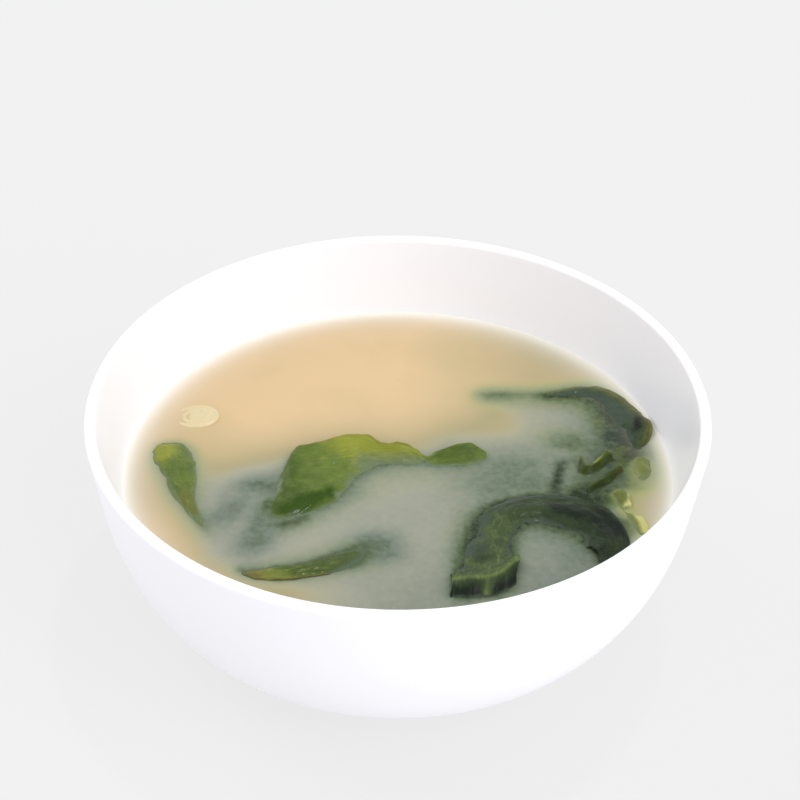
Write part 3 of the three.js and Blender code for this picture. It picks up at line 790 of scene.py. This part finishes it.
# ---------------------------------------------------------------------------------------------
# Sunken wakame: the parts of the same fronds that lie wholly in the broth, a few millimetres
# down. They show only as a grey-green shade through the cloudy liquid.
SUNKEN_PLACES = (60, 50)
SUNKEN_GLOW = 0.3
FIRST_SEED, SEED_STEP = 107, 10
SUNKEN = (  # name, how dark and how yellow-green it shows, crinkle, sag of the margins, rows
    ("sunken_left", 0.8, 0, 0.6, 1.5, (
        [(-47, -3, -4.4), (-40, 0, -3.6), (-33, 2, -3), (-27, 3, -2.6)],
        [(-49, -14, -2.8), (-41, -10, -2), (-34, -8, -2), (-27, -8, -1.8)],
        [(-47, -26, -2.8), (-40, -23, -2), (-33, -20, -2), (-26, -19, -2.2)],
        [(-44, -37, -4.4), (-36, -34, -3), (-28, -31, -2.8), (-16, -27, -3.2)],
    )),
    ("sunken_frond_a", 0.85, 0, 0.5, 1, (
        [(-43, -5, -2.4), (-35, -2, -1.8), (-27, -1, -1)],
        [(-42, -8.6, -1.8), (-34.6, -6.8, -0.9), (-27, -7, -0.6)],
        [(-40, -14, -2.4), (-34, -13, -1.8), (-27, -13, -1)],
    )),
    ("sunken_frond_b", 0.85, 0, 0.5, 1, (
        [(-49, -19, -2.2), (-43.4, -13.6, -1.6), (-36, -8, -1.8)],
        [(-46.4, -21.6, -1), (-41, -16.8, -0.6), (-34.6, -11.6, -1)],
        [(-43, -26.4, -2.4), (-38, -21, -1.8), (-32.6, -15.6, -2)],
    )),
    ("sunken_frond_c", 0.85, 0, 0.5, 1, (
        [(-35, -13, -1.4), (-36.4, -20, -1.6), (-39, -26, -1.7), (-44, -32, -2.6)],
        [(-30.4, -15, -0.4), (-31.5, -22, -0.7), (-34.6, -28.4, -0.9), (-39, -34, -2)],
        [(-24, -17, -1.2), (-25.6, -25, -1.5), (-29, -32, -1.8), (-34, -38, -2.8)],
    )),
    ("sunken_strip_end", 0.9, 0, 0.3, 2, (
        [(-14, -24, -2.4), (-6, -20, -1.8), (4, -19, -3)],
        [(-14, -31, -1), (-4, -29.4, -0.8), (7, -28, -2.6)],
        [(-11, -39, -2.4), (-2, -38.6, -1.8), (8, -39, -3)],
    )),
    ("sunken_centre", 0.8, 0, 0.4, 0, (
        [(-24, 7, -6), (-8, 8, -6), (8, 8, -4.5), (24, 10, -3.5)],
        [(-18, -14, -3.2), (-4, -12, -3.2), (8, -10, -2.9), (22, -8, -2.2)],
        [(-30, -30, -4), (-8, -29, -3), (6, -27, -2.8), (20, -24, -2.2)],
        [(-22, -46, -5.6), (-8, -47, -2.8), (6, -46, -2), (17, -44, -1.4)],
        [(-22, -62, -5.6), (-8, -62, -2.8), (8, -62, -2), (22, -60, -1.4)],
    )),
    ("sunken_right", 0.8, 0.1, 0.4, 0.6, (
        [(8, 15, -5), (22, 15, -4.2), (34, 15, -3), (45, 15, -2.4)],
        [(8, 5, -2.6), (22, 5, -1.5), (32, 5, -1.2), (43, 6, -1.3)],
        [(7, -6, -2.4), (21, -6, -1), (31, -5, -0.8), (42, -4, -0.8)],
        [(12, -19, -2.4), (25, -16, -0.8), (35, -14, -0.5), (45, -13, -0.4)],
    )),
    ("sunken_patch", 0.95, 0.3, 0.4, 1, (
        [(33, 17, -3.4), (41, 17.6, -2.4), (49, 17, -2)],
        [(33, 11.6, -2.6), (41.4, 12, -1), (49, 11.8, -1)],
        [(34, 6, -2.6), (41, 6.6, -1.6), (49, 7, -1.4)],
    )),
    ("sunken_sliver", 1.1, 0, 0.15, 0.3, (
        [(40, 5, -1.4), (38, -2, -1), (35.6, -10, -1)],
        [(41.4, 5.2, -0.7), (39.8, -2, -0.55), (38.2, -10, -0.6)],
        [(42.6, 5, -1.4), (41.2, -2, -1.2), (40.6, -10, -1.1)],
    )),
    ("sunken_back", 1.1, 0, 0.12, 0, (
        [(22, 31, -5.5), (34, 31, -4.2), (43, 30, -2.9), (49, 29, -2.2), (54, 28, -1.6)],
        [(28, 24, -5.5), (38, 24, -4.2), (46, 23, -2.8), (51.5, 23, -1.6), (57, 24, -0.8)],
        [(30, 17, -5), (41, 17, -3.4), (49, 17, -1.9), (54, 17, -0.7), (60, 18, -0.6)],
        [(33, 11, -4), (42, 11.5, -2.6), (49, 11.5, -1.8), (54.6, 11.5, -0.75), (60, 12, -0.6)],
        [(38, 6, -2.8), (45, 6, -2), (50, 6, -1.4), (55, 6, -0.9), (59.6, 7, -0.7)],
        [(40, 1, -2.8), (46, 1, -2), (51, 1, -1.3), (54, 1, -1.1), (57.5, 1, -1.3)],
    )),
    ("sunken_edge", 1.1, 0.3, 0.2, 0, (
        [(42.6, 11, -1.8), (51, 11, -1.4), (58, 9, -1.2)],
        [(42.2, -1, -2), (50.4, -1, -1.3), (57, 0, -1)],
        [(41, -9.6, -0.7), (47, -9.6, -0.65), (55, -8, -1.4)],
        [(41, -14, -0.6), (49, -14, -0.6), (54.4, -12, -1.4)],
    )),
    ("sunken_pool", 1, 0, 0.2, 0, (
        [(23, -17, -1), (34, -17, -0.7), (48, -22, -0.6)],
        [(24, -34, -2.9), (38, -32, -2.1), (51, -33, -0.8)],
        [(21, -58, -1.3), (36, -58, -1), (55, -46, -0.5)],
    )),
    ("sunken_middle_tip", 1.1, 0.3, 0.25, 0.4, (
        [(-32.4, -11, -1.2), (-28, -12, -0.7), (-22, -14, -0.9)],
        [(-33, -17, -0.9), (-27.4, -18, -0.6), (-20, -18, -1)],
        [(-31.6, -25, -1.8), (-26.4, -23.6, -1.2), (-20, -21, -1.8)],
    )),
    ("sunken_pale", 1, 1, 0.15, 0.2, (
        [(54.5, 11, -0.7), (60, 12.6, -0.5), (64.4, 11, -0.7)],
        [(54, 5, -0.6), (60, 5.4, -0.5), (65.2, 4, -1)],
        [(54, -2, -1), (60, -2, -1.2), (65, -3, -2)],
        [(54.4, -7.6, -1.4), (59, -8.4, -1.6), (63, -7.4, -2.4)],
    )),
    ("sunken_olive", 0.95, 1, 0.2, 0.2, (
        [(50.4, -8.2, -1.3), (53.2, -8.2, -1.4), (56, -9, -1.8)],
        [(50.6, -11, -0.7), (53.2, -11, -0.6), (55.8, -11, -1.2)],
        [(51.6, -15, -1.4), (53.2, -15.2, -2), (54.6, -15, -3)],
    )),
    ("sunken_olive_end", 0.95, 1, 0.2, 0.2, (
        [(53.4, -17.2, -0.8), (55, -17.8, -0.7), (56.6, -18.4, -0.8)],
        [(53.8, -21, -0.7), (55.6, -21.4, -0.6), (57.6, -21.4, -0.7)],
        [(54.8, -25.6, -0.9), (56.6, -25.4, -0.8), (58.6, -24.4, -0.9)],
    )),
)
for number, (name, shows, green, crinkle, sag, rows) in enumerate(SUNKEN):
    add_leaf(
        name, None, DARK_WAKAME, "wakame", shows=shows, green=green,
        shape=through_rows(*rows, sag=sag), along=SUNKEN_PLACES[0], across=SUNKEN_PLACES[1],
        crinkle=crinkle, seed=FIRST_SEED + SEED_STEP * number, glow=lambda p, u, v: SUNKEN_GLOW,
    )


# ---------------------------------------------------------------------------------------------
# Spring onion slice: two pale layers round a core, cut across, floating level with the broth. Its
# left edge dips under. The profile gives each layer as a share of the radius, and heights in mm.
SLICE_CENTRE = Vector((-51.4, 20.6, 0)) * MM
SLICE_RADII = (6 * MM, 4.8 * MM)
SLICE_TILT = math.radians(-4)
SLICE_SEGMENTS = 64
SLICE_PROFILE = (
    (0, -1.6), (0.94, -1.6), (1, -1.2), (1, 0.0), (0.94, 0.3), (0.76, 0.3), (0.68, 0.06),
    (0.6, 0.27), (0.46, 0.27), (0.38, 0.04), (0.3, 0.16), (0, 0.22),
)
FLESH_DARK, FLESH_LIGHT = srgb(211, 194, 151), srgb(219, 203, 161)

bm = turn(profile_of([flat(share, height * MM) for share, height in SLICE_PROFILE]), SLICE_SEGMENTS)
bmesh.ops.scale(bm, vec=(*SLICE_RADII, 1), verts=bm.verts)
bmesh.ops.rotate(bm, cent=(0, 0, 0), matrix=Matrix.Rotation(SLICE_TILT, 3, "Y"), verts=bm.verts)
bmesh.ops.translate(bm, vec=SLICE_CENTRE + Vector((0, 0, SOUP_LEVEL)), verts=bm.verts)
onion = mesh_object("onion_ring", bm)
material, tree, shader = new_material("spring_onion")
fibres = mottle(tree, node(tree, "ShaderNodeTexCoord").outputs["Object"], 900.0, 2.0)
feed(
    tree, shader, Base_Color=mixed(tree, fibres, FLESH_DARK, FLESH_LIGHT),
    Normal=bumped(tree, fibres, 0.3, 0.1 * MM), Roughness=0.3,
    Subsurface_Weight=0.2, Subsurface_Scale=1 * MM,
)
onion.data.materials.append(material)
softened = onion.modifiers.new("soft_edges", "SUBSURF")
softened.levels = 1
softened.render_levels = 1
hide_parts("onion_slice")
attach(onion, "root")


# ---------------------------------------------------------------------------------------------
# Broth: cloudy miso, up to the level line. Fine soya hides what lies more than a few millimetres
# down, so a leaf just under the surface shows as a soft grey-green shade. Painted shade dulls the
# broth near the leaves and towards the right. Towards the wall the broth thins out and pales over
# the white glaze, with a painted reflection of the bright wall, and this pale margin is greyer on
# the right, as painted shade.
BROTH_RINGS = 130
BROTH_SEGMENTS = 512
UNDER_STEPS = 24
MENISCUS_RISE = 0.5 * MM
MENISCUS_WIDTH = 0.7 * MM
INTO_WALL = 0.6 * MM
CELL = 0.4 * MM
GRID_MARGIN = 2 * MM
LOOK_FROM = 12 * MM
DEEPEST = 10 * MM
SOFTEST = 4 * MM
SOFTENING = 1.2 * MM
DEPTH_STEPS = 10
SIGHT = 3.0 * MM
BLUR_AT_TOP = 0.45 * MM
BLUR_WITH_DEPTH = 0.55
# How far the painted shade around the leaves reaches.
DULLED_REACH = 10 * MM
FAINTEST_SHADE = 0.02
TOP_BAND = 0.1 * MM
# Painted shade: how far to the right the broth greys, and how much.
RIGHTWARD_SHADE_REACH = 36 * MM
RIGHTWARD_SHADE_MOST = 0.85
CLOUDING = 0.12
GRAINING = 0.09
PALE_MARGIN = 3.2 * MM
PALE_REACH = 5
# The broth's colour where it is clear, and where clouding and painted shade dull it.
CLEAR_BROTH, DULLED_BROTH = srgb(211, 184, 142), srgb(162, 153, 117)
# Pale margin colours at the left and right: the broth thinning over the glaze, with a painted
# reflection of the wall, and greyer on the right as painted shade.
WALL_LEFT, WALL_RIGHT = srgb(246, 241, 231), srgb(228, 226, 214)
LEAF_TINT = (0.96, 1.0, 0.42, 1.0)
SHADES = (
    (0.0, srgb(174, 164, 130)), (0.2, srgb(160, 159, 138)), (0.35, srgb(146, 149, 134)),
    (0.5, srgb(130, 137, 123)), (0.65, srgb(110, 122, 108)), (0.8, srgb(84, 98, 78)),
    (1.0, srgb(38, 50, 36)),
)

places = np.arange(-SOUP_RADIUS - GRID_MARGIN, SOUP_RADIUS + GRID_MARGIN, CELL)


def look_down(leaves, looks_of_face):
    """Square grids: how deep the highest leaf lies at each cell, how darkly it shows, how green."""
    tree_of = BVHTree.FromBMesh(leaves)
    depth = np.full((len(places), len(places)), DEEPEST)
    shows, green = np.zeros_like(depth), np.zeros_like(depth)
    for row, y in enumerate(places):
        for column, x in enumerate(places):
            start = Vector((x, y, SOUP_LEVEL + LOOK_FROM))
            face, distance = tree_of.ray_cast(start, Vector((0, 0, -1)), LOOK_FROM + DEEPEST)[2:]
            if face is not None:
                depth[row, column] = max(distance - LOOK_FROM - LEAF_THICKNESS / 2, 0)
                shows[row, column], green[row, column] = looks_of_face[face]
    return depth, shows, green


def blurred(layer, width):
    """The grid blurred by a bell curve of that width."""
    wave = np.fft.fftfreq(len(places), CELL)
    kept = np.exp(-2 * (math.pi * width * wave) ** 2)
    return np.fft.ifft2(np.fft.fft2(layer) * np.outer(kept, kept)).real


def shown_through(depth, looks):
    """How strongly the leaves' looks come through: softer and fainter the deeper they lie."""
    seen = looks * np.exp(-depth / SIGHT)
    deep_here = blurred(np.minimum(depth, SOFTEST), SOFTENING)
    step = SOFTEST / DEPTH_STEPS
    total = np.zeros_like(depth)
    for level in np.arange(DEPTH_STEPS + 1) * step:
        near_level = np.maximum(1 - np.abs(deep_here - level) / step, 0)
        total += near_level * blurred(seen, BLUR_AT_TOP + BLUR_WITH_DEPTH * level)
    return total


def read_grid(grid, x, y):
    """The grid's value at a place, blended between its four nearest cells."""
    column, row = (x - places[0]) / CELL, (y - places[0]) / CELL
    i, j = int(column), int(row)
    s, t = column - i, row - j
    low = grid[j, i] * (1 - s) + grid[j, i + 1] * s
    high = grid[j + 1, i] * (1 - s) + grid[j + 1, i + 1] * s
    return low * (1 - t) + high * t


all_leaves = bmesh.new()
looks_of_face = []
for surface, shows, green in leaf_surfaces:
    looks_of_face += [(shows, green)] * len(surface.faces)
    scratch = bpy.data.meshes.new("scratch")
    surface.to_mesh(scratch)
    surface.free()
    all_leaves.from_mesh(scratch)
    bpy.data.meshes.remove(scratch)
leaf_depth, leaf_shows, leaf_green = look_down(all_leaves, looks_of_face)
all_leaves.free()
leaf_shade = shown_through(leaf_depth, leaf_shows)
green_shade = shown_through(leaf_depth, leaf_shows * leaf_green)
# Painted shade: the broth is dulled near the leaves, as they take light out of it.
shade_near_leaves = 2 * blurred(np.where(leaf_depth < DEEPEST, 1.0, 0.0), DULLED_REACH)

top = []
for ring in range(BROTH_RINGS + 1):
    radius = (SOUP_RADIUS + INTO_WALL) / BROTH_RINGS * ring
    rise = MENISCUS_RISE * math.exp(-max(SOUP_RADIUS - radius, 0) / MENISCUS_WIDTH)
    top.append(flat(radius, SOUP_LEVEL + rise))
bm = turn(profile_of([*top, *hollow_curve(UNDER_STEPS)[1:], flat(0, FLOOR_TOP)]), BROTH_SEGMENTS)
for layer_name, grid in (
    ("leaf_shade", leaf_shade),
    ("leaf_green", green_shade / np.maximum(leaf_shade, FAINTEST_SHADE)),
    ("shade_near_leaves", np.minimum(shade_near_leaves, 1)),
):
    layer = bm.verts.layers.float.new(layer_name)
    for vert in bm.verts:
        if vert.co.z > SOUP_LEVEL - TOP_BAND:
            vert[layer] = read_grid(grid, vert.co.x, vert.co.y)
broth = mesh_object("miso_broth", bm)

material, tree, shader = new_material("miso")
place = node(tree, "ShaderNodeTexCoord").outputs["Object"]
shade_value = painted(tree, "leaf_shade")
clouds = ranged(tree, mottle(tree, place, 45.0, 4.0), 0.3, 0.7, -CLOUDING, CLOUDING)
sideways = node(tree, "ShaderNodeSeparateXYZ", Vector=place).outputs["X"]
# Painted shade: the broth and its pale margin grow greyer towards the right.
rightward_shade = ranged(tree, sideways, 0.0, RIGHTWARD_SHADE_REACH, 0.0, RIGHTWARD_SHADE_MOST)
dulling_shade = maths(tree, "MAXIMUM", painted(tree, "shade_near_leaves"), rightward_shade)
dulling = maths(tree, "ADD", dulling_shade, clouds, clamp=True)
open_broth = mixed(tree, dulling, CLEAR_BROTH, DULLED_BROTH)

grains = ranged(tree, mottle(tree, place, 600.0, 3.0), 0.3, 0.7, 1 - GRAINING, 1 + GRAINING)
shade = node(tree, "ShaderNodeValToRGB", Fac=maths(tree, "MULTIPLY", shade_value, grains))
ramp = shade.color_ramp
ramp.elements[0].position, ramp.elements[0].color = SHADES[0]
ramp.elements[1].position, ramp.elements[1].color = SHADES[-1]
for position, colour in SHADES[1:-1]:
    ramp.elements.new(position).color = colour
green_value = painted(tree, "leaf_green")
leafy = mixed(tree, green_value, shade.outputs["Color"], LEAF_TINT, blend="MULTIPLY")
veil = ranged(tree, shade_value, 0.0, 0.25, smooth=True)
body = mixed(tree, veil, open_broth, leafy)

level_place = node(tree, "ShaderNodeVectorMath", {"operation": "MULTIPLY"}, Vector=place)
level_place.inputs[1].default_value = (1, 1, 0)
from_middle = node(
    tree, "ShaderNodeVectorMath", {"operation": "LENGTH"}, Vector=level_place.outputs["Vector"],
).outputs["Value"]
# The pale margin by the wall: thin broth over white glaze, with a painted reflection of the wall.
margins_in = ranged(
    tree, from_middle, SOUP_RADIUS - PALE_REACH * PALE_MARGIN, SOUP_RADIUS, -PALE_REACH, 0.0,
)
pale = maths(tree, "EXPONENT", margins_in)
margin_light_and_shade = mixed(tree, rightward_shade, WALL_LEFT, WALL_RIGHT)
feed(
    tree, shader, Base_Color=mixed(tree, pale, body, margin_light_and_shade),
    Normal=bumped(tree, mottle(tree, place, 90.0, 2.0), 0.2, 0.1 * MM),
    Roughness=0.12, IOR=1.34, Specular_IOR_Level=0.12,
)
broth.data.materials.append(material)
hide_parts("soup")
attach(broth, "root")
